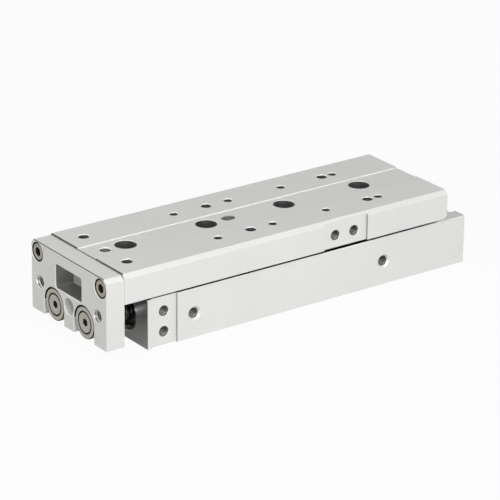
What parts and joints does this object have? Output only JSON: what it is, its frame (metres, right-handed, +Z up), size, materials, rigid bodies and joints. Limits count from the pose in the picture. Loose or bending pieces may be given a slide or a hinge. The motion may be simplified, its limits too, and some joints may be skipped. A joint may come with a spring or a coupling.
{
  "type": "pneumatic slide table",
  "caption": "Twin-rod pneumatic slide: a flat table on a crossed-roller guide runs out along a block body, with an end plate joined to both piston rods.",
  "frame": {"origin": "centre of the body's flat underside", "axes": "+X the way the table extends, +Y the side with the open air ports, +Z up from the underside"},
  "size_m": [0.2072, 0.0628, 0.0395],
  "materials": {
    "anodised_aluminium": "clear anodised over fine bead blasting",
    "black_anodised_aluminium": "black anodised",
    "piston_aluminium": "turned",
    "bearing_steel": "hardened and ground",
    "stainless_steel": "turned",
    "hard_chrome": "ground and hard chromed",
    "plated_screw": "nickel plated",
    "black_oxide_screw": "black oxide",
    "spring_steel": "phosphated",
    "ferrite_magnet": "sintered",
    "nitrile_rubber": "moulded",
    "urethane": "moulded",
    "black_acetal": "moulded",
    "natural_acetal": "moulded"
  },
  "bodies": {
    "body": {"body": "anodised_aluminium", "guide_rail": "bearing_steel", "guide_rail_screws": "black_oxide_screw", "front_cage_stop": "stainless_steel", "front_cage_stop_screws": "black_oxide_screw", "port_plugs": "stainless_steel", "rod_gland_left": "black_anodised_aluminium", "rod_seal_left": "nitrile_rubber", "gland_o_ring_left": "nitrile_rubber", "gland_circlip_left": "spring_steel", "rod_bumper_left": "urethane", "head_cap_left": "black_acetal", "head_o_ring_left": "nitrile_rubber", "head_circlip_left": "spring_steel", "head_bumper_left": "urethane", "rod_gland_right": "black_anodised_aluminium", "rod_seal_right": "nitrile_rubber", "gland_o_ring_right": "nitrile_rubber", "gland_circlip_right": "spring_steel", "rod_bumper_right": "urethane", "head_cap_right": "black_acetal", "head_o_ring_right": "nitrile_rubber", "head_circlip_right": "spring_steel", "head_bumper_right": "urethane"},
    "table": {"table": "anodised_aluminium", "end_plate": "anodised_aluminium", "end_plate_screws": "plated_screw", "rear_cage_stops": "stainless_steel", "rear_cage_stop_screws": "black_oxide_screw", "outer_rail_left": "bearing_steel", "outer_rail_screws_left": "black_oxide_screw", "piston_rod_left": "hard_chrome", "piston_left": "piston_aluminium", "piston_screw_left": "black_oxide_screw", "piston_seal_left": "nitrile_rubber", "piston_magnet_left": "ferrite_magnet", "joint_collar_left": "stainless_steel", "floating_bush_left": "stainless_steel", "joint_bolt_left": "stainless_steel", "outer_rail_right": "bearing_steel", "outer_rail_screws_right": "black_oxide_screw", "piston_rod_right": "hard_chrome", "piston_right": "piston_aluminium", "piston_screw_right": "black_oxide_screw", "piston_seal_right": "nitrile_rubber", "piston_magnet_right": "ferrite_magnet", "joint_collar_right": "stainless_steel", "floating_bush_right": "stainless_steel", "joint_bolt_right": "stainless_steel"},
    "cage_left": {"roller_cage_left": "natural_acetal", "rollers_left": "bearing_steel"},
    "cage_right": {"roller_cage_right": "natural_acetal", "rollers_right": "bearing_steel"}
  },
  "joints": [
    {"name": "table_slide", "type": "slide", "parent": "body", "child": "table", "axis": [1, 0, 0], "range_m": [0, 0.1]},
    {"name": "cage_slide_left", "type": "slide", "parent": "body", "child": "cage_left", "axis": [1, 0, 0], "range_m": [0, 0.05]},
    {"name": "cage_slide_right", "type": "slide", "parent": "body", "child": "cage_right", "axis": [1, 0, 0], "range_m": [0, 0.05]}
  ],
  "couplings": [
    {"joint": "cage_slide_left", "follows": "table_slide", "ratio": 0.5},
    {"joint": "cage_slide_right", "follows": "table_slide", "ratio": 0.5}
  ]
}
